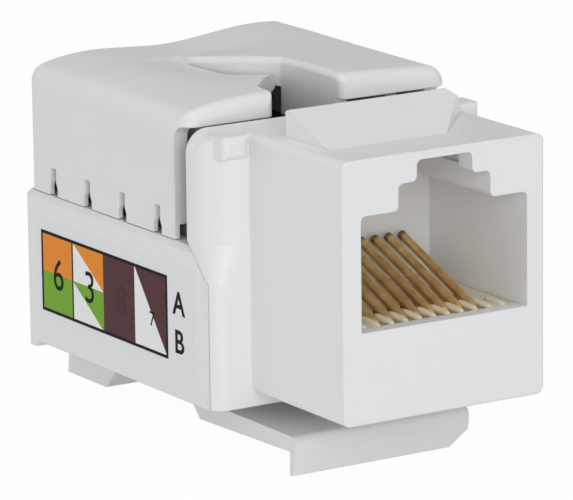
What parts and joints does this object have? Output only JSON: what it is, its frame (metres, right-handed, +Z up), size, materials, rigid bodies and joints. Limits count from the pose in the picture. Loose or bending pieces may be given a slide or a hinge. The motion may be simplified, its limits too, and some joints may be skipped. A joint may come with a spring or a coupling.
{
  "type": "keystone jack",
  "caption": "White keystone network jack with a stepped plug port, gold spring contacts, a snap latch, terminal rows and a lift-off wiring cap.",
  "frame": {"origin": "middle of the port's front lower edge, on the port's front face", "axes": "+Y from the port's front face to the back of the jack, +Z up towards the wiring cap, +X to the right as seen from the front"},
  "size_m": [0.0201, 0.0339, 0.023],
  "materials": {
    "white_plastic": "satin",
    "cream_plastic": "matte",
    "block_plastic": "matte",
    "board": "matte",
    "label": "printed",
    "gold_wire": "plated",
    "tinned_metal": "plated"
  },
  "bodies": {
    "jack": {"front_housing": "white_plastic", "rear_body": "white_plastic", "contact_carrier": "cream_plastic", "circuit_board": "board", "terminal_block": "block_plastic", "wiring_label": "label", "contact_1": "gold_wire", "contact_2": "gold_wire", "contact_3": "gold_wire", "contact_4": "gold_wire", "contact_5": "gold_wire", "contact_6": "gold_wire", "contact_7": "gold_wire", "contact_8": "gold_wire", "terminal_1": "tinned_metal", "terminal_2": "tinned_metal", "terminal_3": "tinned_metal", "terminal_4": "tinned_metal", "terminal_5": "tinned_metal", "terminal_6": "tinned_metal", "terminal_7": "tinned_metal", "terminal_8": "tinned_metal"},
    "cap": {"cap": "white_plastic"},
    "latch": {"latch_arm": "white_plastic"}
  },
  "joints": [
    {"name": "cap_lift", "type": "slide", "parent": "jack", "child": "cap", "axis": [0, 0, 1], "range_m": [0, 0.012]},
    {"name": "latch_flex", "type": "hinge", "parent": "jack", "child": "latch", "pos_m": [0, 0.01835, -0.00165], "axis": [-1, 0, 0], "range_deg": [0, 8], "stiffness_Nm_per_rad": 0.2}
  ]
}
